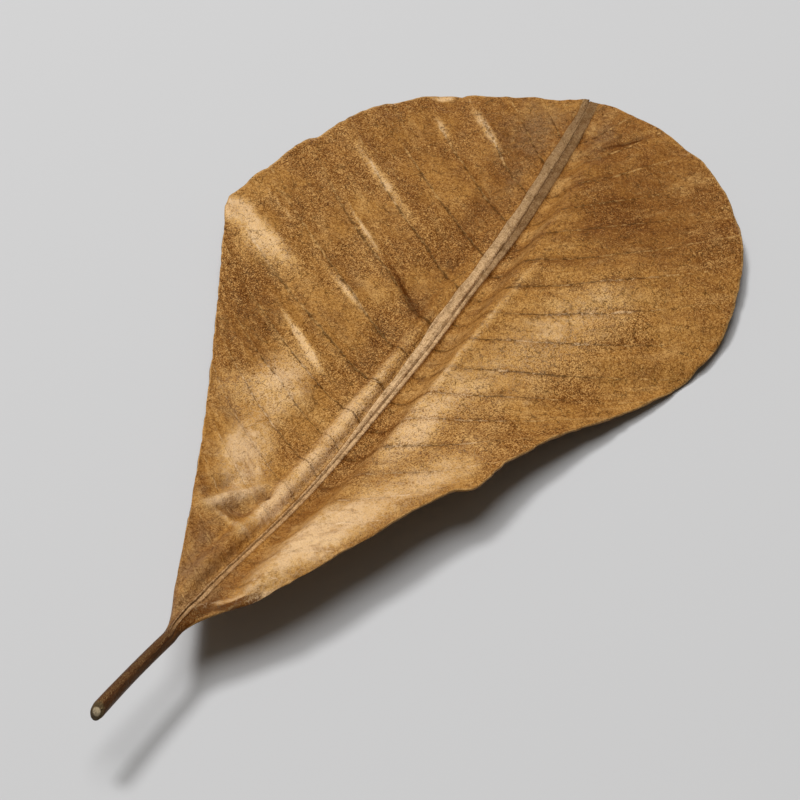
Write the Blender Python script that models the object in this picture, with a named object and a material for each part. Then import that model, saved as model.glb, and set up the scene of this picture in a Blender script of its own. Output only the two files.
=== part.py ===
"""A dry fallen magnolia leaf: blade, midrib and stalk, grown as one piece.

Metres, +Z up. +X runs from the stalk to the tip, +Y to the leaf's left half seen from above.
The origin lies under the middle of the leaf's box, on the ground that the leaf rests on.
The leaf is worked out from the place where stalk and blade meet, and then moved to that origin.
"""
import bmesh
import bpy
import numpy as np

MM = 0.001

# Blade: a wedge at the stalk that opens to a broad round end
BLADE_LENGTH = 200 * MM
BLADE_BASE_AT = np.array([-89.1, -6.0, 0]) * MM
BLADE_THICKNESS = 0.7 * MM
BASE_HEIGHT = 12.6 * MM
MIDRIB_HEIGHT = 2.3 * MM
BASE_DROP_AT = 28 * MM
BASE_DROP_OVER = 12 * MM
TIP_SIDESTEP = 10.7 * MM

# Edges of the blade from the stalk to the tip, each a smooth curve through (x, y, z) in millimetres
LEFT_EDGE = (
    (0, 0.6, 12.2), (6, 3.2, 11.6), (18, 9.4, 10.5), (37.5, 19.6, 8.7), (59, 31.6, 7.4),
    (84, 46.2, 6.6), (110, 61.6, 6.4), (117, 65.6, 6.5), (123, 65.4, 6.6), (146, 62.4, 5.8),
    (157, 59.2, 5.1), (167, 57.2, 4.1), (177, 52.4, 1.9), (185, 46.6, 0.2), (192, 30.5, 2.0),
    (197.4, 16.5, 2.9), (200, 10.7, 3.2),
)
RIGHT_EDGE = (
    (0, -1.8, 12.2), (7, -4.6, 12.4), (17, -11.0, 12.7), (37, -19.5, 12.7), (57, -27.2, 11.6),
    (71, -31.4, 9.7), (86, -37.2, 7.0), (104.5, -45.7, 2.9), (119.5, -51.4, 0.3),
    (132, -53.6, 1.8), (149, -51.4, 3.6), (166, -45.4, 4.4), (179.5, -36.0, 4.2),
    (190, -24.2, 4.1), (196.3, -10.0, 4.0), (200, 10.7, 3.2),
)
EDGE_RIPPLE = 0.35 * MM
EDGE_RIPPLES = 17
FINE_EDGE_RIPPLES = 11.3

# Midrib: a band that stands up from the upper face, with a keel under it
MIDRIB_RISE = 0.9 * MM
MIDRIB_HALF_WIDTH = 1.9 * MM
KEEL_DEPTH = 2.6 * MM
KEEL_HALF_WIDTH = 2.4 * MM

# Side veins: pairs of thin ribs that leave the midrib at about 60 degrees
VEIN_PAIRS = 19
FIRST_VEIN = 0.7
VEIN_HALF_WIDTH = 0.9 * MM
VEIN_RISE_ABOVE = 0.35 * MM
VEIN_RISE_BELOW = 0.6 * MM
VEIN_BOW = 9
QUILTING = 0.45 * MM

# How fast the rows' ends run ahead along each edge of their starts on the midrib
LEFT_FAN = 1.5
RIGHT_FAN = 1.3

# Long forms beside the midrib: a low ridge on the left, a valley and a shoulder on the right
LEFT_RIDGE = 1.7 * MM
LEFT_RIDGE_AT = 4.2 * MM
LEFT_RIDGE_WIDTH = 2.6 * MM
LEFT_TROUGH = 0.7 * MM
LEFT_TROUGH_AT = 11 * MM
LEFT_TROUGH_WIDTH = 4 * MM
RIGHT_VALLEY = 0.6 * MM
RIGHT_VALLEY_AT = 3.2 * MM
RIGHT_VALLEY_WIDTH = 2 * MM
RIGHT_SHOULDER = 3.9 * MM
SHOULDER_FROM = 4.5 * MM
SHOULDER_TO = 9.5 * MM
FORMS_GROW_OVER = 20 * MM
FORMS_FADE_OVER = 60 * MM

# Dents and swellings of the dried blade in millimetres and degrees:
# x, y, half length, half width, turn, height
SWELLINGS = {
    "bulge on the left": (69, 22, 5, 9, 8, 1.3),
    "crease along a left vein": (84, 25, 11, 2.6, 57, 1.2),
    "swelling below the left corner": (104, 45, 13, 6, 62, 1.1),
    "crumple near the left base": (36, 12, 4, 6, 20, 1.4),
    "dent in the crumple": (41, 14, 3, 3.5, 0, -1.5),
    "dent beside the midrib": (41, 6, 3, 2.2, 0, -1.0),
    "pocket in the right base": (14.5, -8, 4.5, 2.2, -25, -1.1),
    "soft fold on the left": (150, 34, 16, 6, 58, 0.9),
    "soft fold on the right": (140, -28, 18, 7, -55, 0.9),
    "hollow on the right": (168, -22, 14, 6, -50, -0.8),
}

# Stalk: a short round stem, a little wider at its cut end
STALK_LENGTH = 20.6 * MM
STALK_RADIUS = 1.25 * MM
STALK_END_RADIUS = 1.6 * MM
STALK_CLIMB = 1.2 * MM
STALK_BEND = 0.9 * MM
STALK_CUT_SLANT = 1.1 * MM

# Mesh: loops across the leaf, each with the same number of points
NEAR_MIDRIB = (0.7, 1.4, 2.2, 3.4, 5.0, 7.2, 10.0)
TO_THE_EDGE = (0.15, 0.34, 0.56, 0.79, 1.0)
SHORT_ROW = 24 * MM
STALK_LOOPS = 6


def clear_scene():
    """Removes every object of the open scene."""
    for thing in list(bpy.data.objects):
        bpy.data.objects.remove(thing, do_unlink=True)


def smooth_step(value):
    """Runs from 0 to 1 without a corner while value does."""
    value = np.clip(value, 0, 1)
    return value * value * (3 - 2 * value)


def bell(distance, width):
    """A soft hump of height 1 that fades over width."""
    return np.exp(-(distance / width) ** 2)


def curve_through(points, fraction):
    """The place at a fraction of the length of the smooth curve through the points."""
    points = np.array(points, float) * MM
    steps = np.linalg.norm(np.diff(points, axis=0), axis=1)
    reach = np.concatenate([[0], np.cumsum(steps)])
    slopes = np.gradient(points, reach, axis=0)
    where = np.clip(fraction, 0, 1) * reach[-1]
    piece = int(np.clip(np.searchsorted(reach, where) - 1, 0, len(steps) - 1))
    step = steps[piece]
    part = (where - reach[piece]) / step
    start, end = points[piece], points[piece + 1]
    leave, arrive = slopes[piece] * step, slopes[piece + 1] * step
    return ((2 * part**3 - 3 * part**2 + 1) * start + (part**3 - 2 * part**2 + part) * leave
            + (3 * part**2 - 2 * part**3) * end + (part**3 - part**2) * arrive)


def midrib_place(along):
    """Plan place and height of the midrib's centre at a distance from the blade's base."""
    share = along / BLADE_LENGTH
    aside = TIP_SIDESTEP * (0.22 * share + 0.78 * share**4)
    fall = 1 / (1 + np.exp((along - BASE_DROP_AT) / BASE_DROP_OVER))
    full_fall = 1 / (1 + np.exp(-BASE_DROP_AT / BASE_DROP_OVER))
    height = MIDRIB_HEIGHT + (BASE_HEIGHT - MIDRIB_HEIGHT) * fall / full_fall
    return np.array([along, aside, height])


def vein_places():
    """Distances along the midrib, as shares of the blade, where the side veins leave it."""
    return (np.arange(VEIN_PAIRS) + FIRST_VEIN) / (VEIN_PAIRS + FIRST_VEIN)


def row_places():
    """Shares of the blade where a row of the mesh starts: on each vein, beside it and between."""
    flank = VEIN_HALF_WIDTH / BLADE_LENGTH
    veins = vein_places()
    gap = veins[1] - veins[0]
    rows = np.concatenate([veins - gap / 2, veins - flank, veins, veins + flank])
    return np.sort(rows[rows > 0])


def row_distances(length):
    """Distances from the midrib at which a row has its points, close together by the midrib."""
    scale = min(1, length / SHORT_ROW)
    near = np.array(NEAR_MIDRIB) * MM * scale
    far = near[-1] + (length - near[-1]) * np.array(TO_THE_EDGE)
    return np.concatenate([near, far])


def side_row(share, side):
    """Points of one row from the midrib to an edge, on the blade's middle surface."""
    start = midrib_place(share * BLADE_LENGTH)
    edge, fan = (LEFT_EDGE, LEFT_FAN) if side > 0 else (RIGHT_EDGE, RIGHT_FAN)
    along_edge = 1 - (1 - share) ** fan
    end = curve_through(edge, along_edge)
    reach = end[:2] - start[:2]
    length = np.linalg.norm(reach)
    turn = np.radians(VEIN_BOW) * side
    open_reach = np.array([reach[0] * np.cos(turn) - reach[1] * np.sin(turn),
                           reach[0] * np.sin(turn) + reach[1] * np.cos(turn)])
    middle = start[:2] + open_reach / 2

    distance = row_distances(length)
    out = distance / length
    weights = np.stack([(1 - out) ** 2, 2 * out * (1 - out), out**2])
    plan = weights.T @ np.stack([start[:2], middle, end[:2]])
    from_midrib = np.abs(plan[:, 1] - midrib_place(plan[:, 0])[1])

    height = start[2] + (end[2] - start[2]) * out**1.25
    height += long_forms(plan[:, 0], from_midrib, out, side)
    height += quilting(share, out) + swellings(plan) + edge_ripple(along_edge, out, side)
    return np.column_stack([plan, np.maximum(height, BLADE_THICKNESS / 2)]), from_midrib


def long_forms(along, from_midrib, out, side):
    """The ridge, valley and shoulder that follow the midrib, fading at the base, edge and tip."""
    fade = smooth_step(along / FORMS_GROW_OVER) * (1 - out**2)
    fade *= smooth_step((BLADE_LENGTH - along) / FORMS_FADE_OVER)
    if side > 0:
        ridge = LEFT_RIDGE * bell(from_midrib - LEFT_RIDGE_AT, LEFT_RIDGE_WIDTH)
        trough = LEFT_TROUGH * bell(from_midrib - LEFT_TROUGH_AT, LEFT_TROUGH_WIDTH)
        return fade * (ridge - trough)
    valley = RIGHT_VALLEY * bell(from_midrib - RIGHT_VALLEY_AT, RIGHT_VALLEY_WIDTH)
    climb = smooth_step((from_midrib - SHOULDER_FROM) / (SHOULDER_TO - SHOULDER_FROM))
    return fade * (RIGHT_SHOULDER * climb - valley)


def quilting(share, out):
    """The blade swells a little between each two veins."""
    phase = share * (VEIN_PAIRS + FIRST_VEIN) - FIRST_VEIN
    swell = 0.5 - 0.5 * np.cos(2 * np.pi * phase)
    return QUILTING * swell * smooth_step(out * 4) * (1 - 0.5 * out)


def swellings(plan):
    """Sum of the dents and swellings at places in plan."""
    total = np.zeros(len(plan))
    for x, y, along, across, turn, height in SWELLINGS.values():
        turn = np.radians(turn)
        dx, dy = plan[:, 0] - x * MM, plan[:, 1] - y * MM
        first = (dx * np.cos(turn) + dy * np.sin(turn)) / (along * MM)
        second = (dy * np.cos(turn) - dx * np.sin(turn)) / (across * MM)
        total += height * MM * np.exp(-first**2 - second**2)
    return total


def edge_ripple(along_edge, out, side):
    """Small waves of the free edge."""
    wave = np.sin(2 * np.pi * EDGE_RIPPLES * along_edge + side)
    wave += 0.6 * np.sin(2 * np.pi * FINE_EDGE_RIPPLES * along_edge)
    return EDGE_RIPPLE * wave * out**6 * smooth_step(along_edge * 8)


def vein_strength(share, out):
    """How much of a side vein's rib a row carries: full on the vein, none beside it."""
    nearest = np.min(np.abs(vein_places() - share))
    rib = max(0, 1 - nearest * BLADE_LENGTH / VEIN_HALF_WIDTH)
    return rib * smooth_step(out * 30) * (1 - 0.55 * out)


def middle_surface():
    """Rows of middle-surface points from the left edge over the midrib to the right edge."""
    rows, distances, ribs = [], [], []
    for share in row_places():
        left, left_distance = side_row(share, 1)
        right, right_distance = side_row(share, -1)
        centre = midrib_place(share * BLADE_LENGTH)[None]
        rows.append(np.concatenate([left[::-1], centre, right]))
        distances.append(np.concatenate([left_distance[::-1], [0], right_distance]))
        out = np.abs(np.linspace(-1, 1, len(rows[-1])))
        ribs.append(vein_strength(share, out))
    return np.array(rows), np.array(distances), np.array(ribs)


def surface_normals(rows):
    """Upward unit normals of the middle surface."""
    along = np.gradient(rows, axis=0)
    across = np.gradient(rows, axis=1)
    normal = np.cross(across, along)
    normal *= np.sign(normal[..., 2:])
    return normal / np.linalg.norm(normal, axis=-1, keepdims=True)


def blade_loops():
    """Closed loops across the blade: over the upper face and back under the lower face."""
    rows, distance, rib = middle_surface()
    normal = surface_normals(rows)
    to_tip = (BLADE_LENGTH - rows[..., 0]) / BLADE_LENGTH
    rise = MIDRIB_RISE * smooth_step(1.5 - distance / MIDRIB_HALF_WIDTH) * smooth_step(to_tip * 12)
    keel = KEEL_DEPTH * np.clip(1 - (distance / KEEL_HALF_WIDTH) ** 2, 0, 1) * smooth_step(to_tip * 9)

    upper = rows + normal * BLADE_THICKNESS / 2
    upper[..., 2] += rise + rib * VEIN_RISE_ABOVE
    lower = rows - normal * BLADE_THICKNESS / 2
    lower[..., 2] -= keel + rib * VEIN_RISE_BELOW
    lower[..., 2] = np.maximum(lower[..., 2], 0)
    return np.concatenate([upper, lower[:, ::-1]], axis=1)


def stalk_loops(first_blade_loop):
    """Round loops along the stalk that pass into the blade's first loop."""
    count = len(first_blade_loop)
    turn = np.pi * (np.arange(count) + 0.5) / (count / 2)
    neck = first_blade_loop.mean(axis=0)
    loops = []
    for place in np.linspace(0, 1, STALK_LOOPS):
        radius = STALK_END_RADIUS + (STALK_RADIUS - STALK_END_RADIUS) * smooth_step(place * 2)
        slant = STALK_CUT_SLANT * (1 - smooth_step(place * 2))
        x = -STALK_LENGTH * (1 - place) + slant * np.sin(turn)
        y = neck[1] + STALK_BEND * (1 - place**2) + radius * np.cos(turn)
        z = neck[2] + STALK_CLIMB * (1 - place) + radius * np.sin(turn)
        loops.append(np.column_stack([x, y, z]))
    return np.array(loops)


def make_leaf():
    """The leaf as one closed mesh: loops joined by triangles, split alike on both faces."""
    blade = blade_loops()
    loops = np.concatenate([stalk_loops(blade[0]), blade])
    tip = curve_through(LEFT_EDGE, 1)

    bm = bmesh.new()
    rings = [[bm.verts.new(point) for point in loop + BLADE_BASE_AT] for loop in loops]
    count = len(rings[0])
    for ring, following in zip(rings, rings[1:]):
        for i in range(count):
            j = (i + 1) % count
            on_upper_face = i < count // 2
            if on_upper_face:
                bm.faces.new((ring[i], ring[j], following[j]))
                bm.faces.new((ring[i], following[j], following[i]))
            else:
                bm.faces.new((ring[i], ring[j], following[i]))
                bm.faces.new((ring[j], following[j], following[i]))
    bm.faces.new(rings[0])
    end = bm.verts.new(tip + BLADE_BASE_AT)
    for i in range(count):
        bm.faces.new((rings[-1][i], rings[-1][(i + 1) % count], end))
    bmesh.ops.recalc_face_normals(bm, faces=bm.faces)

    mesh = bpy.data.meshes.new("leaf")
    bm.to_mesh(mesh)
    bm.free()
    mesh.shade_smooth()
    return bpy.data.objects.new("leaf", mesh)


def leaf_material():
    """Dry, leathery brown leaf surface."""
    material = bpy.data.materials.new("dry_leaf")
    material.use_nodes = True
    shader = material.node_tree.nodes["Principled BSDF"]
    shader.inputs["Base Color"].default_value = (0.33, 0.17, 0.06, 1)
    shader.inputs["Roughness"].default_value = 0.55
    shader.inputs["Metallic"].default_value = 0
    return material


def build():
    """Puts the finished leaf in a collection of its own."""
    clear_scene()
    collection = bpy.data.collections.new("magnolia_leaf")
    bpy.context.scene.collection.children.link(collection)
    leaf = make_leaf()
    leaf.data.materials.append(leaf_material())
    collection.objects.link(leaf)


build()
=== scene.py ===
import math

import bpy
import numpy as np
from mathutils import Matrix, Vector


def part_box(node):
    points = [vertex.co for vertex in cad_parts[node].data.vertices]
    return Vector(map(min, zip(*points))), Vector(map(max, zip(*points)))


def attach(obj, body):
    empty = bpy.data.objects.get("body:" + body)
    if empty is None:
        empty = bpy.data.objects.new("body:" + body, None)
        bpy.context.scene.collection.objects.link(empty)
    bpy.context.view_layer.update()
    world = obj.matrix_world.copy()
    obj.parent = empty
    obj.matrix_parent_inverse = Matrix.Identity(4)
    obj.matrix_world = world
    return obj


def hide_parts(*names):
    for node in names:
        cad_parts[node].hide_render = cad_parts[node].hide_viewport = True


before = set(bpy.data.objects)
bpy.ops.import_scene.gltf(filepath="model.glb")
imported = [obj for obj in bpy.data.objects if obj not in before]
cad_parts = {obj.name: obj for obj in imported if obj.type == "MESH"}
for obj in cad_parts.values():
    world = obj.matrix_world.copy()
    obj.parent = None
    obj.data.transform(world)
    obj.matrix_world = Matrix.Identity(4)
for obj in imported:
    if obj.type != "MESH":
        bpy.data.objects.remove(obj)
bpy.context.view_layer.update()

# Camera: it looks down over the stalk, slantwise along the leaf, through a long lens.
VIEW_AZIMUTH = math.radians(300.22)
VIEW_ELEVATION = math.radians(45)
VIEW_DISTANCE = 0.4088
VIEW_CENTRE = Vector((-0.0037, -0.0062, 0))

view_back = Vector((
    math.sin(VIEW_AZIMUTH) * math.cos(VIEW_ELEVATION),
    -math.cos(VIEW_AZIMUTH) * math.cos(VIEW_ELEVATION),
    math.sin(VIEW_ELEVATION),
))
bpy.ops.object.select_all(action="DESELECT")
bpy.ops.object.camera_add(location=VIEW_CENTRE + view_back * VIEW_DISTANCE)
camera = bpy.context.object
camera.name = "camera"
camera.rotation_euler = view_back.to_track_quat("Z", "Y").to_euler()
camera.data.lens = 85
camera.data.sensor_width = 36
camera.data.clip_start = 0.01
bpy.context.scene.camera = camera


# Leaf: the blade, a thin sheet of dried leathery tissue, grew in one with its midrib, its side veins
# and the short woody stalk, so they are one closed mesh. It dried in the air: the base lifts, the
# edges wave and the tissue buckles between the veins.
MM = 0.001
BLADE_LENGTH = 200 * MM
BLADE_THICKNESS = 0.5 * MM
BASE_HEIGHT = 12.6 * MM
MIDRIB_HEIGHT = 2.3 * MM
BASE_DROP_AT = 28 * MM
BASE_DROP_OVER = 12 * MM
TIP_SIDESTEP = 10.7 * MM
TIP_TRIM = 0.3 * MM
BASE_FROM_BOX_CORNER = (21.7 * MM, 53.74 * MM)

# Edges of the blade from the stalk to the tip, each a smooth curve through (x, y, z) in millimetres,
# with x and y from the blade's base and z from the floor
LEFT_EDGE = (
    (0, 0.6, 12.2), (6, 3.2, 11.6), (18, 9.4, 10.5), (37.5, 19.6, 8.7), (59, 31.6, 7.4),
    (84, 46.2, 6.6), (110, 61.6, 6.4), (116.6, 65.4, 6.5), (117.7, 65.75, 6.5), (119.6, 65.4, 6.6),
    (146, 62.4, 5.8), (157, 59.2, 5.1), (167, 57.2, 4.1), (177, 52.4, 1.9), (185, 46.6, 0.2),
    (192, 30.5, 2.0), (197.4, 16.5, 2.9), (200, 10.7, 3.2),
)
RIGHT_EDGE = (
    (0, -1.8, 12.2), (7, -4.6, 12.4), (17, -11.0, 12.7), (37, -19.5, 12.7), (57, -27.2, 11.6),
    (59.5, -28.4, 11.3), (62, -30.9, 10.9), (66, -32.0, 10.3), (73, -33.0, 9.3), (86, -37.2, 7.0),
    (104.5, -45.7, 2.9), (119.5, -51.4, 0.3), (132, -53.6, 1.8), (149, -51.4, 3.6), (166, -45.4, 4.4),
    (179.5, -36.0, 4.2), (190, -24.2, 4.1), (196.3, -10.0, 4.0), (199.3, 2.0, 3.6), (200, 10.7, 3.2),
)
NICKS = 150
NICK_DEPTH = 0.6 * MM
NICKS_LOST_ON_RIGHT = 0.6
EDGE_RIPPLE = 0.25 * MM
EDGE_RIPPLES = 17
FINE_EDGE_RIPPLES = 11.3
SEED = 11

# Side veins: where each leaves the midrib, in millimetres from the blade's base. They bow by an angle
# in degrees, and lean towards the tip by the power given for their half.
LEFT_VEINS = (
    3, 8, 14, 21, 29, 37, 45.5, 54, 63, 72, 83, 94, 105, 119, 132, 145, 157, 169, 180, 189,
)
RIGHT_VEINS = (
    3, 9, 16, 24, 33, 42, 51.5, 61, 71, 81, 90, 100, 109, 118, 127, 137, 147, 158, 169, 180, 190,
)
VEIN_PITCH = 10 * MM
LEFT_FAN = 1.5
RIGHT_FAN = 1.3
VEIN_BOW = 9
VEIN_WANDER = 0.07
WANDER_ALONG = 13 * MM
WANDER_ACROSS = 17 * MM
VEIN_STRENGTHS = (0.25, 1.3)
VEIN_DRAWS = 24
VEIN_BREAKS = 5 * MM
LEFT_TIP_LEAN = 8 * MM
VEIN_HALF_WIDTH = 2.2 * MM
VEIN_CREST_HALF_WIDTH = 0.7 * MM
VEIN_RISE_ABOVE = 0.42 * MM
VEIN_CREST = 0.16 * MM
VEIN_RISE_BELOW = 0.5 * MM
LEFT_QUILTING = 0.36 * MM
RIGHT_QUILTING = 0.55 * MM

# Long forms beside the midrib: a low ridge, a crease and a trough on the left, and a valley and a
# shoulder on the right
LEFT_RIDGE = 1.5 * MM
LEFT_RIDGE_AT = 3.6 * MM
LEFT_RIDGE_WIDTH = 2.2 * MM
RIDGE_STARTS_AT = 1.0 * MM
RIDGE_STARTS_OVER = 1.6 * MM
RIDGE_ENDS_AT = 95 * MM
RIDGE_ENDS_OVER = 45 * MM
LEFT_CREASE = 0.4 * MM
LEFT_CREASE_AT = 6.6 * MM
LEFT_CREASE_WIDTH = 1.1 * MM
LEFT_TROUGH = 0.7 * MM
LEFT_TROUGH_AT = 11 * MM
LEFT_TROUGH_WIDTH = 4 * MM
RIGHT_VALLEY = 0.6 * MM
RIGHT_VALLEY_AT = 3.2 * MM
RIGHT_VALLEY_WIDTH = 2 * MM
RIGHT_SHOULDER = 3.9 * MM
SHOULDER_FROM = 4.5 * MM
SHOULDER_TO = 9.5 * MM
FORMS_GROW_OVER = 20 * MM
FORMS_FADE_OVER = 60 * MM

# Dents and swellings: x, y, half length, half width, turn in degrees and height, all lengths in
# millimetres. The largest dents are a crumpled spot near the base and a pocket by the right edge.
SWELLINGS = (
    (72, 22, 5, 9, 8, 1.4), (88, 25.5, 9, 1.5, 57, 0.9), (112, 51, 14, 4.6, 66, 1.3),
    (107.3, 25.8, 6.5, 1.8, 63, 0.6), (127.3, 34.7, 14, 1.5, 54, 0.7),
    (122.3, 54.4, 11, 1.4, 63, 0.5), (146.5, 39.5, 20, 2.3, 57, 0.8), (178, 27.5, 12, 1.9, 49, 0.8),
    (174.4, 38, 7, 1.8, 49, 0.5), (97, 36, 10, 3, 60, -0.5), (37.5, 12, 5, 1.3, -26, 1.3),
    (41.4, 14.8, 3, 1.4, -20, -1.3), (43.4, 6.2, 1.8, 1.5, 30, -1.5), (36.3, 8.2, 1.6, 3.4, 10, -1.2),
    (32, 8.3, 5.5, 1.1, 77, 1.0), (14.5, -6.3, 5, 1.7, -55, -1.5), (12, -4.2, 7, 1.1, -40, 0.5),
    (188, -5.6, 8, 1.0, -40, -0.4), (140, -28, 18, 7, -55, 0.9), (168, -22, 14, 6, -50, -0.8),
    (112, -22, 14, 3, -52, 0.4), (128, -20, 14, 3, -52, 0.4), (120, -34, 12, 3, -50, -0.4),
    (115, -8.4, 36, 1.1, -1, 0.35),
)

# Patches laid out in the same way, but their last number says how much: pale ones, partly bleached
# tissue and partly painted highlight on the lit tops of ridges, swellings and vein crests; browned ones,
# partly browned tissue and partly painted shade in dents, the pocket by the right edge, the crease and
# the valley right of the midrib; and greyed ones
# Pale patches: bleached tissue, and painted highlight on the lit tops of ridges, swellings and vein
# crests
PALE_AND_HIGHLIGHT_PATCHES = (
    (44, -16, 38, 7, -14, 0.7), (64, -26, 14, 4, -20, 0.3), (74, -11, 16, 4, -4, 0.7),
    (33, -10.5, 14, 4, -14, 0.6), (102, -19, 34, 11, -20, 0.5), (64, 32, 8, 5, 30, 0.4),
    (105, 52, 6, 6, 0, 0.4), (76, 23, 13, 8, 10, 0.7), (111, 52, 15, 3.4, 67, 1.0),
    (115.5, 61.5, 4.5, 3.5, 0, 0.8), (145, 40, 18, 1.5, 57, 0.8), (50, 16, 13, 6, 22, 1.0),
    (66, 4.5, 38, 3, 2, 0.9), (71, 22, 5, 7, 10, 0.3), (87, 25.9, 8.5, 0.6, 57, 1.3),
    (106, 26.2, 8, 0.8, 62, 0.9), (177, 28, 12, 1.2, 49, 0.9), (173.4, 38.7, 6.5, 1.0, 49, 0.8),
    (127.3, 34.7, 12, 0.7, 54, 0.9), (40, -5.5, 14, 2.5, -5, 0.25), (115, -8, 36, 1.0, -1, 0.5),
    (112, 22, 14, 5, 40, 0.3), (17, -10.8, 2.5, 0.4, -36, 1.0), (10, -3.4, 11, 4, -22, 0.1),
    (11.5, -3.6, 8, 0.9, -40, 0.4), (130, -26, 24, 12, -30, 0.3), (122.3, 54.4, 10, 0.6, 63, 0.7),
    (185, 45, 3, 1.1, -45, 1.5), (37.5, 12, 5, 1.1, -26, 1.0), (32, 8.3, 5, 0.7, 77, 0.7),
    (40, 3.4, 5, 1.5, 0, 0.8),
)
# Browned patches: browned tissue, and painted shade in dents, the pocket, the crease and the valley
# right of the midrib
BROWNED_AND_SHADED_PATCHES = (
    (20, 6, 14, 5, 20, 0.55), (44, -1.5, 15, 4, -2, 0.55), (86, 37, 20, 6, 32, 0.8),
    (166, -18, 30, 15, -10, 0.8), (186, 2, 14, 9, 0, 0.5), (140, 13, 42, 5, 8, 0.6),
    (176, 20, 14, 6, 20, 0.5), (97, 13, 12, 3, 8, 0.5), (100, 60, 12, 5, 20, 0.2),
    (178, 20, 26, 34, 0, 0.2), (60, 6.8, 40, 0.8, 2, 0.5), (72, -2, 60, 1.4, 1, 0.3),
    (8, -2.2, 12, 1.6, -6, 1.3), (112, 10, 10, 3, 50, 0.4), (13.6, -7.8, 4.4, 1.2, -36, 2.6),
    (8, -4.5, 9, 2.5, -30, 0.6), (3, -1, 4, 2.6, 0, 1.3), (113.5, 15, 8, 0.6, 53, 1.6),
    (188, -5.6, 8, 0.8, -40, 1.5), (41.4, 14.8, 2.6, 1.2, -20, 1.2), (43.4, 6.2, 1.7, 1.3, 30, 1.4),
    (36.3, 8.2, 1.5, 3.2, 10, 0.8), (158, -38, 22, 12, -20, 0.5), (115, -42, 25, 5, -28, 0.25),
)
GREYED = (
    (10, -1, 14, 7, 0, 0.5), (39, 10, 7, 6, 0, 0.4), (20, 8, 17, 7, 22, 0.6),
    (184, 19, 12, 8, 0, 0.8), (188, 2, 10, 4, 20, 0.6), (112, 27, 10, 3, 45, 0.5),
    (120, -3, 60, 3, 2, 0.3), (60, 28, 6, 3, 20, 0.4), (165, 12, 25, 3, 8, 0.4),
)

# Midrib: two strips that stand up on both sides of a crack, and a keel underneath. Widths and places
# across it are in millimetres, and a pair gives the value at the thin base and at the full width. The
# crack's pairs say between which distances from the base it fills up, and how deep it is at both.
CRACK_STEP = 0.5
CRACK_WANDER = 0.12
CRACK_WAVE = 7 * MM
CRACK_HALF_WIDTH = 0.25
CRACK_FILLS_BETWEEN = (125, 165)
CRACK_DEPTH = (1, 0.25)
LEFT_STRIP_WIDTH = (0.35, 2.4)
RIGHT_STRIP_WIDTH = (0.9, 2.0)
LEFT_STRIP_SLOPE = 0.5
RIGHT_STRIP_SLOPE = 0.4
RIGHT_STRIP_WIDENS_FROM = 110 * MM
RIGHT_STRIP_WIDENS_OVER = 60 * MM
RIGHT_STRIP_LOWERED = (0.25, 0.5)
STRIP_RISE = (0.3, 0.95)
MIDRIB_UNEVENNESS = 0.06
MIDRIB_WAVE = 5.3 * MM
MIDRIB_FINE_WAVE = 2.1 * MM
MIDRIB_GROWS_FROM = 45 * MM
MIDRIB_GROWS_OVER = 70 * MM
KEEL_DEPTH = 2.6 * MM
KEEL_HALF_WIDTH = 2.4 * MM

# Dried tissue on both sides of the midrib: broad buckles and small puckers, each with its size and
# its height
TISSUE_FROM = 2.5 * MM
TISSUE_OVER = 4 * MM
TISSUE_LEVELS = 10
BUCKLES = (("buckles", 14 * MM, 1.3 * MM), ("puckers", 3.6 * MM, 0.55 * MM))

# Stalk: a short round stem, a little wider at its slanting cut end
STALK_LENGTH = 20.6 * MM
STALK_RADIUS = 1.33 * MM
STALK_END_RADIUS = 1.4 * MM
STALK_HEIGHT = 12 * MM
STALK_CLIMB = 1.2 * MM
STALK_BEND = 0.9 * MM
STALK_ASIDE = -0.6 * MM
STALK_CUT_SLANT = 1.1 * MM
STALK_RIM_SHARE = 0.9
STALK_MERGES_OVER = 7 * MM

# Mesh: rows across the leaf from the cut end to the tip, with more points by the midrib
STALK_ROWS = 34
BLADE_ROWS = 268
COLUMNS_A_SIDE = 77
LAST_ROW = 0.9965
COLUMN_STEPS = (0, 12, 26)
COLUMN_DISTANCES = (0, 3 * MM, 10 * MM)
SHORT_ROW = 24 * MM


def smooth_step(value):
    """Runs from 0 to 1 without a corner while value does."""
    value = np.clip(value, 0, 1)
    return value * value * (3 - 2 * value)


def bell(distance, width):
    """A soft hump of height 1 that fades over width."""
    return np.exp(-(distance / width) ** 2)


def curve_through(points, fraction):
    """Places at fractions of the length of the smooth curve through the points."""
    points = np.array(points, float) * MM
    steps = np.linalg.norm(np.diff(points, axis=0), axis=1)
    reach = np.concatenate([[0], np.cumsum(steps)])
    slopes = np.gradient(points, reach, axis=0)
    where = np.clip(fraction, 0, 1) * reach[-1]
    piece = np.clip(np.searchsorted(reach, where) - 1, 0, len(steps) - 1)
    step = steps[piece][:, None]
    part = (where - reach[piece])[:, None] / step
    start, end = points[piece], points[piece + 1]
    leave, arrive = slopes[piece] * step, slopes[piece + 1] * step
    return ((2 * part**3 - 3 * part**2 + 1) * start + (part**3 - 2 * part**2 + part) * leave
            + (3 * part**2 - 2 * part**3) * end + (part**3 - part**2) * arrive)


def midrib_place(along):
    """Plan place and height of the midrib's centre at distances from the blade's base."""
    share = along / BLADE_LENGTH
    aside = TIP_SIDESTEP * (0.22 * share + 0.78 * share**4)
    fall = 1 / (1 + np.exp((along - BASE_DROP_AT) / BASE_DROP_OVER))
    full_fall = 1 / (1 + np.exp(-BASE_DROP_AT / BASE_DROP_OVER))
    height = MIDRIB_HEIGHT + (BASE_HEIGHT - MIDRIB_HEIGHT) * fall / full_fall
    return np.stack([along, aside, height], axis=-1)


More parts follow.
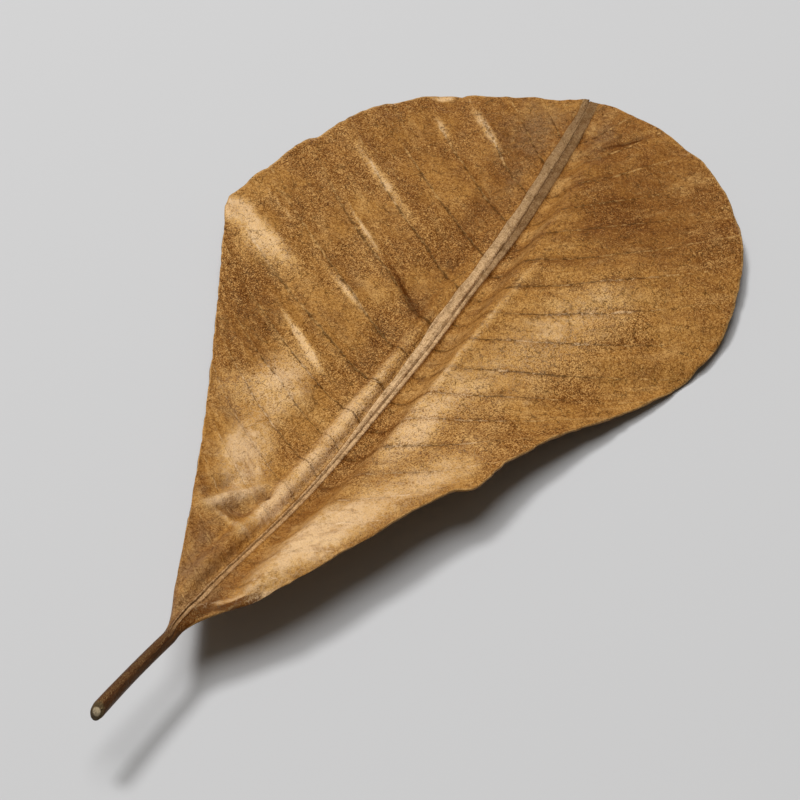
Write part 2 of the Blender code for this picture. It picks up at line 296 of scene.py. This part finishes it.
def long_forms(along, from_midrib, out, left):
    """Height of the forms that follow the midrib, which fade at the base, the edges and the tip."""
    fade = smooth_step(along / FORMS_GROW_OVER) * (1 - out**2)
    fade *= smooth_step((BLADE_LENGTH - along) / FORMS_FADE_OVER)
    ridge = LEFT_RIDGE * bell(from_midrib - LEFT_RIDGE_AT, LEFT_RIDGE_WIDTH)
    ridge *= 1 - smooth_step((along - RIDGE_ENDS_AT) / RIDGE_ENDS_OVER)
    ridge *= smooth_step((from_midrib - RIDGE_STARTS_AT) / RIDGE_STARTS_OVER)
    trough = LEFT_TROUGH * bell(from_midrib - LEFT_TROUGH_AT, LEFT_TROUGH_WIDTH)
    trough += LEFT_CREASE * bell(from_midrib - LEFT_CREASE_AT, LEFT_CREASE_WIDTH)
    valley = RIGHT_VALLEY * bell(from_midrib - RIGHT_VALLEY_AT, RIGHT_VALLEY_WIDTH)
    climb = smooth_step((from_midrib - SHOULDER_FROM) / (SHOULDER_TO - SHOULDER_FROM))
    return fade * np.where(left, ridge - trough, RIGHT_SHOULDER * climb - valley)


def hills(plan, shapes):
    """Sum of soft oval hills at places in plan, each (x, y, half length, half width, turn, height)."""
    total = np.zeros(len(plan))
    for x, y, along, across, turn, height in shapes:
        turn = math.radians(turn)
        dx, dy = plan[:, 0] - x * MM, plan[:, 1] - y * MM
        first = (dx * math.cos(turn) + dy * math.sin(turn)) / (along * MM)
        second = (dy * math.cos(turn) - dx * math.sin(turn)) / (across * MM)
        total += height * np.exp(-first**2 - second**2)
    return total


def read_points(piece):
    """The piece's vertices as an array."""
    points = np.empty(len(piece.data.vertices) * 3)
    piece.data.vertices.foreach_get("co", points)
    return points.reshape(-1, 3)


def move_points(piece, points):
    """Puts the piece's vertices at new places."""
    piece.data.vertices.foreach_set("co", points.ravel())
    piece.data.update()


def write_values(piece, name, values):
    """Stores one number for each vertex, for the material."""
    piece.data.attributes.new(name, "FLOAT", "POINT").data.foreach_set("value", values)


# A flat grid. Its rows cross the leaf and are counted from the cut end to the tip. Its columns run
# along the leaf and are counted from the midrib, up to the left edge and down to the right edge.
bpy.ops.object.select_all(action="DESELECT")
bpy.ops.mesh.primitive_grid_add(
    x_subdivisions=STALK_ROWS + BLADE_ROWS, y_subdivisions=2 * COLUMNS_A_SIDE, size=1)
leaf = bpy.context.object
leaf.name = "dry_leaf"
flat = read_points(leaf)
row = (flat[:, 0] + 0.5) * (STALK_ROWS + BLADE_ROWS)
column = flat[:, 1] * 2 * COLUMNS_A_SIDE
left = column > 0
share = np.clip((row - STALK_ROWS) / BLADE_ROWS, 0, 1) * LAST_ROW
down_stalk = np.clip(1 - row / STALK_ROWS, 0, 1)

# Each row runs along a bowed line, as the side veins do, from the midrib to the edge
start = midrib_place(share * BLADE_LENGTH)
along_edge = 1 - (1 - share) ** np.where(left, LEFT_FAN, RIGHT_FAN)
left_end, right_end = curve_through(LEFT_EDGE, along_edge), curve_through(RIGHT_EDGE, along_edge)
end = np.where(left[:, None], left_end, right_end)
reach = (end - start)[:, :2]
length = np.linalg.norm(reach, axis=1)
squeeze = np.minimum(1, length / SHORT_ROW)
near = np.interp(np.abs(column), COLUMN_STEPS, COLUMN_DISTANCES) * squeeze
near_end = COLUMN_DISTANCES[-1] * squeeze
beyond = np.clip((np.abs(column) - COLUMN_STEPS[-1]) / (COLUMNS_A_SIDE - COLUMN_STEPS[-1]), 0, 1)
out = (near + (length - near_end) * beyond) / length

turn = np.radians(VEIN_BOW) * np.where(left, 1, -1)
bowed = np.stack([reach[:, 0] * np.cos(turn) - reach[:, 1] * np.sin(turn),
                  reach[:, 0] * np.sin(turn) + reach[:, 1] * np.cos(turn)], axis=1)
middle = start[:, :2] + bowed / 2
plan = ((1 - out) ** 2)[:, None] * start[:, :2] + (2 * out * (1 - out))[:, None] * middle
plan += (out**2)[:, None] * end[:, :2]
aside = plan[:, 1] - midrib_place(plan[:, 0])[:, 1]
from_midrib = np.abs(aside)

# Small nicks along both edges, shallower towards the tip on the right edge
draws = np.random.default_rng(SEED)
left_nicks, right_nicks = draws.uniform(0, 1, (2, NICKS + 1)) ** 3
nick = np.where(left, np.interp(along_edge * NICKS, np.arange(NICKS + 1), left_nicks),
                np.interp(along_edge * NICKS, np.arange(NICKS + 1), right_nicks))
nick *= NICK_DEPTH * smooth_step((out - 0.9) / 0.1)
nick *= smooth_step(share * 10) * smooth_step((1 - share) * 10)
nick *= np.where(left, 1, 1 - NICKS_LOST_ON_RIGHT * smooth_step(along_edge * 3 - 1.2))
plan -= nick[:, None] * reach / length[:, None]
plan[:, 0] = np.minimum(plan[:, 0], BLADE_LENGTH - TIP_TRIM)

# The side veins wander a little, and each one is as strong as its own draw says
wander = np.sin(plan[:, 0] / WANDER_ALONG + 2 * np.sin(plan[:, 1] / WANDER_ACROSS))
wander *= smooth_step(out * 3)
left_start = share * BLADE_LENGTH + LEFT_TIP_LEAN * out**2 * smooth_step((share - 0.45) / 0.3)
left_number = np.interp(left_start / MM, LEFT_VEINS, np.arange(len(LEFT_VEINS)))
right_number = np.interp(share * BLADE_LENGTH / MM, RIGHT_VEINS, np.arange(len(RIGHT_VEINS)))
vein_place = np.where(left, left_number, right_number) + VEIN_WANDER * wander
nearest = np.rint(vein_place).astype(int) + 1
left_strength, right_strength = draws.uniform(*VEIN_STRENGTHS, (2, VEIN_DRAWS))
vein_strength = np.where(left, left_strength[nearest], right_strength[nearest])
to_vein = np.abs(vein_place - np.rint(vein_place)) * VEIN_PITCH
broken = 0.6 + 0.4 * np.sin(plan[:, 1] / VEIN_BREAKS + 3 * vein_strength)
fade = vein_strength * broken * smooth_step(out * 12) * (1 - 0.35 * out)
fade *= np.where(left, 1, 0.1 + 0.5 * smooth_step(out * 2 - 0.4))
rib = smooth_step(1 - to_vein / VEIN_HALF_WIDTH) * fade
crest = smooth_step(1 - to_vein / VEIN_CREST_HALF_WIDTH) * fade

# Height of the middle of the sheet, which nowhere sinks into the floor
height = start[:, 2] + (end - start)[:, 2] * out**1.25
height += long_forms(plan[:, 0], from_midrib, out, left) + hills(plan, SWELLINGS) * MM
swell = (0.5 - 0.5 * np.cos(2 * np.pi * vein_place)) * (0.6 + 0.4 * wander)
swell *= 0.35 + 0.65 * vein_strength
height += np.where(left, LEFT_QUILTING, RIGHT_QUILTING) * swell * smooth_step(out * 5) * (1 - 0.7 * out)
wave = np.sin(2 * np.pi * EDGE_RIPPLES * along_edge + np.where(left, 1, -1))
wave += 0.6 * np.sin(2 * np.pi * FINE_EDGE_RIPPLES * along_edge)
height += EDGE_RIPPLE * wave * out**6 * smooth_step(along_edge * 8)
height = np.maximum(height, BLADE_THICKNESS / 2)

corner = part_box("leaf")[0]
blade_base = np.array([corner.x + BASE_FROM_BOX_CORNER[0], corner.y + BASE_FROM_BOX_CORNER[1], corner.z])
plan[:, 0] -= STALK_LENGTH * down_stalk
move_points(leaf, np.column_stack([plan, height]) + blade_base)

# The tissue dried unevenly: broad soft buckles and small puckers, none on the midrib and the stalk
leaf.vertex_groups.new(name="tissue")
tissue = smooth_step((from_midrib - TISSUE_FROM) / TISSUE_OVER) * smooth_step(share * 20)
for level in range(1, TISSUE_LEVELS + 1):
    chosen = np.nonzero(np.rint(tissue * TISSUE_LEVELS) == level)[0]
    leaf.vertex_groups["tissue"].add([int(i) for i in chosen], level / TISSUE_LEVELS, "REPLACE")
for name, size, strength in BUCKLES:
    clouds = bpy.data.textures.new(name, "CLOUDS")
    clouds.noise_scale = size
    clouds.noise_depth = 2
    buckle = leaf.modifiers.new(name, "DISPLACE")
    buckle.texture = clouds
    buckle.strength = strength
    buckle.mid_level = 0.5
    buckle.direction = "Z"
    buckle.vertex_group = "tissue"
    bpy.ops.object.modifier_apply(modifier=buckle.name)

wall = leaf.modifiers.new("wall", "SOLIDIFY")
wall.thickness = BLADE_THICKNESS
wall.offset = 0
bpy.ops.object.modifier_apply(modifier=wall.name)

# Midrib and side veins stand out from both faces, and the midrib sinks into the blade at the tip
grown = smooth_step((plan[:, 0] - MIDRIB_GROWS_FROM) / MIDRIB_GROWS_OVER)
to_tip = (BLADE_LENGTH - plan[:, 0]) / BLADE_LENGTH
across = aside / MM + (CRACK_STEP + CRACK_WANDER * np.sin(plan[:, 0] / CRACK_WAVE)) * grown
uneven = np.sin(plan[:, 0] / MIDRIB_WAVE) + 0.7 * np.sin(plan[:, 0] / MIDRIB_FINE_WAVE + 1)
left_strip = np.interp(grown, (0, 1), LEFT_STRIP_WIDTH) * (0.85 + 0.15 * smooth_step(to_tip * 8))
left_strip *= 1 + MIDRIB_UNEVENNESS * uneven
widened = smooth_step((plan[:, 0] - RIGHT_STRIP_WIDENS_FROM) / RIGHT_STRIP_WIDENS_OVER)
right_strip = np.interp(widened, (0, 1), RIGHT_STRIP_WIDTH)
crack_depth = np.interp(plan[:, 0] / MM, CRACK_FILLS_BETWEEN, CRACK_DEPTH)
strip = smooth_step((left_strip - across) / LEFT_STRIP_SLOPE + 1)
strip *= smooth_step((right_strip + across) / RIGHT_STRIP_SLOPE + 1)
strip *= 1 - crack_depth * (1 - smooth_step(np.abs(across) / CRACK_HALF_WIDTH))
strip *= 1 - np.interp(widened, (0, 1), RIGHT_STRIP_LOWERED) * smooth_step(-across / 0.3)
strip_rise = np.interp(grown, (0, 1), STRIP_RISE) * MM * smooth_step(to_tip * 14 - 0.05)
keel = KEEL_DEPTH * np.clip(1 - (from_midrib / KEEL_HALF_WIDTH) ** 2, 0, 1) * smooth_step(to_tip * 9)
keel *= 0.6 + 0.4 * smooth_step(plan[:, 0] / (20 * MM))

points = read_points(leaf) - blade_base
count = len(flat)
upper, lower = points[:count], points[count:]
upper[:, 2] += strip * strip_rise + rib * VEIN_RISE_ABOVE + crest * VEIN_CREST
lower[:, 2] = np.maximum(lower[:, 2] - keel - rib * VEIN_RISE_BELOW, 0)

# The rows of the stalk are rings, and the first rows of the blade grow out of them
angle = np.pi * (COLUMNS_A_SIDE - column + 0.5) / (2 * COLUMNS_A_SIDE + 1)
ring_x = share * BLADE_LENGTH - STALK_LENGTH * down_stalk
thick = smooth_step(2 * down_stalk - 1)
radius = STALK_RADIUS + (STALK_END_RADIUS - STALK_RADIUS) * thick
radius *= np.where(row < 0.5, STALK_RIM_SHARE, 1)
ring_y = STALK_ASIDE * smooth_step(1 - ring_x / STALK_MERGES_OVER) + start[:, 1]
ring_y += STALK_BEND * (1 - (1 - down_stalk) ** 2)
ring_z = STALK_HEIGHT + STALK_CLIMB * down_stalk
wing = smooth_step(ring_x / STALK_MERGES_OVER)[:, None]
for face, side in ((upper, 1), (lower, -1)):
    ring = np.column_stack([
        ring_x + side * STALK_CUT_SLANT * thick * np.sin(angle),
        ring_y + radius * np.cos(angle),
        ring_z + side * radius * np.sin(angle),
    ])
    face[:] = ring * (1 - wing) + face * wing
move_points(leaf, points + blade_base)
bpy.ops.object.shade_smooth()
cut_centre = (points + blade_base)[np.tile(row < 0.5, 2)].mean(axis=0)

write_values(leaf, "vein_place", np.tile(vein_place, 2))
write_values(leaf, "aside", np.tile(aside / MM, 2))
write_values(leaf, "across_crack", np.tile(across, 2))
write_values(leaf, "left_strip", np.tile(left_strip, 2))
write_values(leaf, "right_strip", np.tile(right_strip, 2))
write_values(leaf, "outward", np.tile(out, 2))
write_values(leaf, "pale_and_highlight", np.tile(hills(plan, PALE_AND_HIGHLIGHT_PATCHES), 2))
write_values(leaf, "browned_and_shaded", np.tile(hills(plan, BROWNED_AND_SHADED_PATCHES), 2))
write_values(leaf, "greyed", np.tile(hills(plan, GREYED), 2))
write_values(leaf, "along_blade", np.tile(share, 2))
write_values(leaf, "underside", np.repeat([0.0, 1.0], count))
write_values(leaf, "stalk", np.tile(1 - smooth_step((ring_x / MM + 0.5) / 4), 2))
write_values(leaf, "cut_end", np.tile(1.0 * (row < 0.5), 2))


class Nodes:
    """Short ways to add nodes to a material. A value is a number, a colour or another node's output."""

    def __init__(self, material):
        material.use_nodes = True
        self.tree = material.node_tree
        self.shader = self.tree.nodes["Principled BSDF"]

    def feed(self, socket, value):
        if isinstance(value, bpy.types.NodeSocket):
            self.tree.links.new(value, socket)
        else:
            socket.default_value = value

    def add(self, kind, inputs, output=0, **settings):
        node = self.tree.nodes.new("ShaderNode" + kind)
        for name, value in settings.items():
            setattr(node, name, value)
        for name, value in inputs.items():
            self.feed(node.inputs[name], value)
        return node.outputs[output]

    def value(self, name):
        """A number stored for each vertex."""
        return self.add("Attribute", {}, output="Fac", attribute_name=name)

    def calc(self, operation, first, second=0.0):
        return self.add("Math", {0: first, 1: second}, operation=operation)

    def times(self, first, second):
        return self.calc("MULTIPLY", first, second)

    def plus(self, first, *others):
        for other in others:
            first = self.calc("ADD", first, other)
        return first

    def swing(self, noise, amount):
        """How far a noise is above or below its middle, times an amount."""
        return self.times(self.plus(noise, -0.5), amount)

    def step(self, value, low, high, to_low=0.0, to_high=1.0):
        """Goes softly from one number to another while value goes from low to high."""
        inputs = {"Value": value, "From Min": low, "From Max": high, "To Min": to_low, "To Max": to_high}
        return self.add("MapRange", inputs, interpolation_type="SMOOTHSTEP")

    def line(self, distance, core, edge):
        """1 up to core away from a line, and 0 from edge on."""
        return self.step(self.calc("ABSOLUTE", distance), core, edge, 1.0, 0.0)

    def noise(self, place, scale, detail=2.0, roughness=0.5):
        inputs = {"Vector": place, "Scale": scale, "Detail": detail, "Roughness": roughness}
        return self.add("TexNoise", inputs)

    def net(self, place, scale):
        """Distance to the nearest line of an irregular net."""
        return self.add("TexVoronoi", {"Vector": place, "Scale": scale}, feature="DISTANCE_TO_EDGE")

    def mix(self, share, first, second, how="MIX"):
        inputs = {0: share, 6: first, 7: second}
        return self.add("Mix", inputs, output=2, data_type="RGBA", blend_type=how)

    def stretched(self, place, factors):
        """Places at which a pattern repeats so many times as often each way."""
        return self.add("VectorMath", {0: place, 1: factors}, operation="MULTIPLY")


# Colours of the dried leaf, in linear light
OCHRE = (0.315, 0.128, 0.026, 1)
GOLD = (0.43, 0.20, 0.045, 1)
TAN = (0.61, 0.35, 0.125, 1)
# Cream serves mostly as painted highlight on lit ridges, crests and sheen
CREAM = (0.84, 0.58, 0.34, 1)
LIGHT_POINT = (0.74, 0.43, 0.15, 1)
UMBER = (0.08, 0.018, 0.0, 1)
STAIN = (0.37, 0.25, 0.11, 1)
RUSSET = (0.21, 0.072, 0.012, 1)
GREY_BROWN = (0.26, 0.16, 0.085, 1)
RIB_BEIGE = (0.80, 0.53, 0.29, 1)
RIB_BROWN = (0.25, 0.145, 0.068, 1)
DARK_LINE = (0.075, 0.022, 0.0, 1)
STALK_BROWN = (0.066, 0.023, 0.009, 1)
STALK_STREAK = (0.125, 0.05, 0.018, 1)
CUT_WOOD = (0.62, 0.50, 0.32, 1)
CUT_RIM = (0.10, 0.068, 0.035, 1)
UNDERSIDE_BROWN = (0.27, 0.13, 0.04, 1)
SHEEN_TINT = (1.0, 0.72, 0.27, 1)

# Fineness of its patterns, in repeats per millimetre
BROAD_PATCHES = 0.05
MIDDLE_PATCHES = 0.17
SMALL_PATCHES = 0.6
COARSE_GRAIN = 0.95
GRAIN = 3.1
WEAR = 0.32
VEIN_WOBBLE = 0.6
CRACK_NET = 0.27
HAIR_NET = 0.8
NET_BENDS = 0.7

# Streaks, fibres and wrinkles are drawn out, so they repeat less often one way than the other
STREAKS_A_VEIN = 2.4
STREAKS_TO_EDGE = 4.0
FIBRE_REPEATS = (0.12, 2.4, 1.0)
WRINKLE_REPEATS = (1.1, 0.35, 1.0)

dry_leaf = bpy.data.materials.new("dry_leaf")
n = Nodes(dry_leaf)
object_place = n.add("TexCoord", {}, output="Object")
place = n.add("VectorMath", {0: object_place, "Scale": 1 / MM}, operation="SCALE")
vein_number = n.value("vein_place")
out_share = n.value("outward")
along_share = n.value("along_blade")
rib_distance = n.value("aside")
right_side = n.step(rib_distance, 0.01, -0.01)
pale_and_highlight = n.value("pale_and_highlight")
browned_and_shaded = n.value("browned_and_shaded")
greyed = n.value("greyed")

# Mottling in broad, middle and small patches, and streaks that run along the side veins
broad = n.noise(place, BROAD_PATCHES, 3, 0.6)
middle_patches = n.noise(place, MIDDLE_PATCHES, 5, 0.62)
small_patches = n.noise(place, SMALL_PATCHES, 4, 0.65)
streak_place = n.add("CombineXYZ", {
    0: n.times(vein_number, STREAKS_A_VEIN),
    1: n.times(out_share, STREAKS_TO_EDGE),
    2: n.times(right_side, 7.0),
})
streaks = n.noise(streak_place, 1.0, 4, 0.62)
ragged = n.plus(n.swing(middle_patches, 1.4), n.swing(small_patches, 0.8))
ragged_pale_and_highlight = n.plus(pale_and_highlight, ragged)
colour = n.mix(n.step(broad, 0.42, 0.6), OCHRE, GOLD)
colour = n.mix(n.times(n.step(middle_patches, 0.52, 0.68), 0.5), colour, RUSSET)
# Browned tissue, and painted shade in dents, the pocket, the crease and the valley right of the midrib
colour = n.mix(n.times(n.step(n.plus(browned_and_shaded, ragged), 0.1, 0.9), 0.8), colour, RUSSET)
# Pale tissue, and painted highlight on the lit tops of ridges, swellings and vein crests
colour = n.mix(n.times(n.step(ragged_pale_and_highlight, 0.2, 0.8), 0.85), colour, TAN)
colour = n.mix(n.times(n.step(ragged_pale_and_highlight, 0.55, 1.05), 0.75), colour, CREAM)
colour = n.mix(n.times(n.step(streaks, 0.5, 0.66), 0.5), colour, RUSSET)
colour = n.mix(n.times(n.step(streaks, 0.47, 0.34), 0.35), colour, TAN)
colour = n.mix(n.times(n.step(n.plus(greyed, ragged), 0.1, 0.9), 0.5), colour, GREY_BROWN)

# Small golden and russet flecks, stronger towards the tip
flecked = n.step(along_share, 0.55, 0.85, 0.12, 0.55)
colour = n.mix(n.times(n.step(small_patches, 0.53, 0.63), flecked), colour, GOLD)
colour = n.mix(n.times(n.step(small_patches, 0.46, 0.37), flecked), colour, RUSSET)

# Side veins: each has a line along its crest, pale in some stretches and dark in others, and a browned
# band beside it that fades outwards and is weaker on the left half. The pale stretches are partly the
# veins' own colour and partly painted highlight where the raised crests catch the light. The dark lines
# are faint near the base.
coarse_grain = n.noise(place, COARSE_GRAIN, 3, 0.65)
wobble = n.noise(place, VEIN_WOBBLE, 3, 0.6)
worn = n.noise(place, WEAR, 4, 0.75)
vein_share = n.calc("PINGPONG", vein_number, 0.5)
vein_distance = n.plus(n.times(vein_share, VEIN_PITCH / MM), n.swing(wobble, 1.1))
vein_line = n.line(vein_distance, 0.05, n.plus(0.42, n.swing(coarse_grain, 1.2)))
vein_band = n.line(vein_distance, 0.2, 1.8)
pale_and_lit_vein = n.times(n.times(vein_line, n.step(worn, 0.48, 0.6)), n.step(out_share, 0.1, 0.4))
unworn = n.step(n.plus(worn, n.times(right_side, 0.06)), 0.68, 0.52)
dark_vein = n.times(n.times(vein_line, unworn), n.step(out_share, 0.98, 0.5))
past_base = n.step(along_share, 0.16, 0.34, 0.2, 1.0)
band_fade = n.times(n.step(out_share, 0.9, 0.2), n.step(right_side, 0.0, 1.0, 0.35, 1.0))
band_share = n.times(vein_band, band_fade)

# Grain: dark and light points of the dried surface, denser in some patches than in others, and
# fainter near the base and the tip
grain = n.noise(place, GRAIN, 2, 0.7)
density = n.plus(
    n.swing(small_patches, 0.22),
    n.times(n.times(band_share, n.step(worn, 0.4, 0.6)), 0.16),
    n.swing(coarse_grain, 0.14),
    n.times(n.plus(browned_and_shaded, n.times(pale_and_highlight, -1.0)), 0.06),
)
dark_points = n.step(n.plus(grain, density), 0.49, 0.6)
light_points = n.step(n.plus(grain, density), 0.48, 0.38)
grainy = n.times(n.step(along_share, 0.08, 0.35, 0.3, 1.0), n.step(along_share, 0.95, 0.6, 0.4, 1.0))
grainy = n.times(grainy, n.step(n.plus(broad, n.times(pale_and_highlight, -0.15)), 0.56, 0.42, 0.5, 1.0))
colour = n.mix(n.times(dark_points, grainy), colour, STAIN, "MULTIPLY")
colour = n.mix(n.times(n.times(light_points, grainy), 0.66), colour, LIGHT_POINT)

# The veins' bands and lines, and the pale worn rim of the blade, lie over the grain
colour = n.mix(n.times(band_share, n.step(worn, 0.55, 0.4, 0.0, 0.35)), colour, RUSSET)
colour = n.mix(n.times(dark_vein, n.times(past_base, 0.8)), colour, DARK_LINE)
# The pale crest lines turn cream in the pale patches, as painted highlight
crest_colour = n.mix(n.step(pale_and_highlight, 0.1, 0.7), TAN, CREAM)
colour = n.mix(n.times(pale_and_lit_vein, 0.75), colour, crest_colour)
rim = n.step(out_share, 0.988, 0.997)
colour = n.mix(n.times(rim, n.step(worn, 0.35, 0.55, 0.3, 0.9)), colour, TAN)

# Short pale strokes between the first stretches of the right side veins
beside_rib = n.times(n.step(rib_distance, -8.5, -6.0), n.step(rib_distance, -1.2, -2.4))
stroke = n.times(n.step(vein_share, 0.12, 0.4), beside_rib)
stroke_seen = n.times(n.step(along_share, 0.2, 0.5), n.step(streaks, 0.6, 0.4))
colour = n.mix(n.times(n.times(stroke, stroke_seen), 0.3), colour, TAN)

# The darkest spots, almost black: browned tissue, and painted shade in the deepest dents and in the
# pocket by the right edge
darkest_brown_and_shade = n.step(n.plus(browned_and_shaded, n.times(ragged, 0.5)), 0.95, 1.7)
colour = n.mix(n.times(darkest_brown_and_shade, 0.88), colour, UMBER)

# Fine cracks in the dried surface
net_shift = n.add("TexNoise", {"Vector": place, "Scale": NET_BENDS}, output="Color")
net_shift = n.add("VectorMath", {0: net_shift, "Scale": 2.5}, operation="SCALE")
net_place = n.add("VectorMath", {0: place, 1: net_shift}, operation="ADD")
net_line = n.step(n.net(net_place, CRACK_NET), 0.0, 0.045, 1.0, 0.0)
net_seen = n.times(n.step(small_patches, 0.54, 0.45), n.plus(n.times(past_base, 0.7), 0.3))
net_crack = n.times(net_line, net_seen)
colour = n.mix(n.times(net_crack, 0.7), colour, DARK_LINE)

# The smallest veins, a net of hairlines: dark in most places and pale in the pale patches, there partly
# as painted sheen
hair_line = n.step(n.net(net_place, HAIR_NET), 0.0, 0.13, 1.0, 0.0)
hair_line = n.times(hair_line, n.step(coarse_grain, 0.38, 0.52))
pale_share = n.step(pale_and_highlight, 0.3, 0.8)
dark_share = n.times(n.plus(1.0, n.times(pale_share, -0.7)), 0.7)
colour = n.mix(n.times(hair_line, dark_share), colour, STAIN, "MULTIPLY")
colour = n.mix(n.times(hair_line, n.times(pale_share, 0.45)), colour, CREAM)

# Midrib: beige fibres, browner towards the tip, with a darker right strip, a dark crack between the
# strips and painted shade in the groove along the left one
fibres = n.noise(n.stretched(place, FIBRE_REPEATS), 1.0, 4, 0.65)
rib_wrinkles = n.noise(n.stretched(place, WRINKLE_REPEATS), 1.0, 4, 0.7)
crack_distance = n.value("across_crack")
past_left = n.calc("SUBTRACT", crack_distance, n.value("left_strip"))
past_left = n.plus(past_left, n.swing(coarse_grain, 0.5))
past_right = n.plus(crack_distance, n.value("right_strip"))
on_rib = n.times(n.step(past_right, -0.25, 0.05), n.step(past_left, 0.25, -0.05))
on_right = n.times(n.step(crack_distance, 0.1, -0.3), n.step(along_share, 0.5, 0.8))
rib_colour = n.mix(n.times(n.step(fibres, 0.4, 0.7), 0.45), RIB_BEIGE, GREY_BROWN)
rib_colour = n.mix(n.step(along_share, 0.5, 0.95, 0.0, 0.85), rib_colour, RIB_BROWN)
rib_colour = n.mix(n.times(on_right, 0.9), rib_colour, RIB_BROWN)
mottled_right = n.times(on_right, n.step(small_patches, 0.4, 0.6, 0.15, 0.6))
rib_colour = n.mix(mottled_right, rib_colour, STALK_STREAK)
rib_colour = n.mix(n.times(n.step(small_patches, 0.5, 0.66), 0.5), rib_colour, RIB_BROWN)
rib_colour = n.mix(n.times(n.step(rib_wrinkles, 0.52, 0.66), 0.6), rib_colour, RIB_BROWN)
rib_colour = n.mix(n.times(dark_points, 0.6), rib_colour, STAIN, "MULTIPLY")
colour = n.mix(n.times(on_rib, n.step(along_share, 0.1, 0.45, 0.4, 0.9)), colour, rib_colour)
crack_width = n.plus(0.24, n.swing(coarse_grain, 0.9))
crack = n.line(n.plus(crack_distance, n.swing(wobble, 0.5)), 0.03, crack_width)
# Painted shade in the groove between the left strip and the blade
groove_shade = n.line(n.plus(past_left, -0.3), 0.05, 0.35)
colour = n.mix(n.times(crack, n.step(along_share, 0.7, 0.9, 0.65, 0.15)), colour, DARK_LINE)
colour = n.mix(n.times(groove_shade, n.step(worn, 0.6, 0.4, 0.15, 0.6)), colour, DARK_LINE)

# The plainer underside, the stalk and its cut end
underside_colour = n.mix(n.times(dark_points, 0.5), UNDERSIDE_BROWN, UMBER)
colour = n.mix(n.times(n.value("underside"), 0.8), colour, underside_colour)
stalk_colour = n.mix(n.step(fibres, 0.4, 0.75), STALK_BROWN, STALK_STREAK)
colour = n.mix(n.value("stalk"), colour, stalk_colour)
from_pith = n.add("VectorMath", {0: place, 1: tuple(cut_centre / MM)}, operation="DISTANCE", output=1)
cut_colour = n.mix(n.step(from_pith, 0.6, 1.0), CUT_WOOD, CUT_RIM)
colour = n.mix(n.value("cut_end"), colour, cut_colour)
n.feed(n.shader.inputs["Base Color"], colour)

# Satin surface, duller where it is coarse, with a little relief
dullness = n.step(n.plus(coarse_grain, n.times(dark_points, 0.1)), 0.3, 0.75, 0.3, 0.48)
n.feed(n.shader.inputs["Roughness"], dullness)
n.shader.inputs["Specular IOR Level"].default_value = 0.35
n.shader.inputs["Specular Tint"].default_value = SHEEN_TINT
relief = n.plus(
    n.times(grain, 0.09),
    n.times(coarse_grain, 0.16),
    n.times(small_patches, 0.3),
    n.times(middle_patches, 0.4),
    n.times(n.times(rib_wrinkles, on_rib), 0.2),
    n.times(net_crack, -0.05),
    n.times(n.plus(dark_vein, crack), -0.08),
    n.times(pale_and_lit_vein, 0.06),
)
bump = n.add("Bump", {"Height": relief, "Distance": MM, "Strength": 1.0})
n.feed(n.shader.inputs["Normal"], bump)

leaf.data.materials.append(dry_leaf)
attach(leaf, "root")
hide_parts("leaf")


# Floor: a plain, pale, matt surface that the leaf lies on, one flat square wide enough to fill the
# view from every side.
FLOOR_WIDTH = 6
FLOOR_GREY = (0.57, 0.575, 0.585, 1)

bpy.ops.object.select_all(action="DESELECT")
bpy.ops.mesh.primitive_plane_add(size=FLOOR_WIDTH, location=(0, 0, 0))
floor = bpy.context.object
floor.name = "floor"
floor_finish = bpy.data.materials.new("pale_floor")
floor_finish.use_nodes = True
floor_shader = floor_finish.node_tree.nodes["Principled BSDF"]
floor_shader.inputs["Base Color"].default_value = FLOOR_GREY
floor_shader.inputs["Roughness"].default_value = 0.85
floor_shader.inputs["Specular IOR Level"].default_value = 0.1
floor.data.materials.append(floor_finish)


# Light: a small round lamp and a broad soft one, both high above the leaf's left half, and a little
# warm light from all round. Each lamp has its elevation in degrees, distance, width and power.
LAMP_HEADING = Vector((0.42, 0.907, 0)).normalized()
ROOM_COLOUR = (1, 0.88, 0.72, 1)
ROOM_STRENGTH = 0.105
LAMPS = (
    ("key_lamp", 62, 2.6, 0.6, 31),
    ("broad_lamp", 77, 2.2, 1.7, 32.5),
)

for name, elevation, distance, size, power in LAMPS:
    elevation = math.radians(elevation)
    towards_lamp = LAMP_HEADING * math.cos(elevation) + Vector((0, 0, math.sin(elevation)))
    bpy.ops.object.light_add(type="AREA", location=towards_lamp * distance)
    lamp = bpy.context.object
    lamp.name = name
    lamp.rotation_euler = towards_lamp.to_track_quat("Z", "Y").to_euler()
    lamp.data.shape = "DISK"
    lamp.data.size = size
    lamp.data.energy = power

room = bpy.data.worlds.new("room_light")
room.use_nodes = True
background = room.node_tree.nodes["Background"]
background.inputs["Color"].default_value = ROOM_COLOUR
background.inputs["Strength"].default_value = ROOM_STRENGTH
bpy.context.scene.world = room
bpy.context.scene.view_settings.view_transform = "Standard"
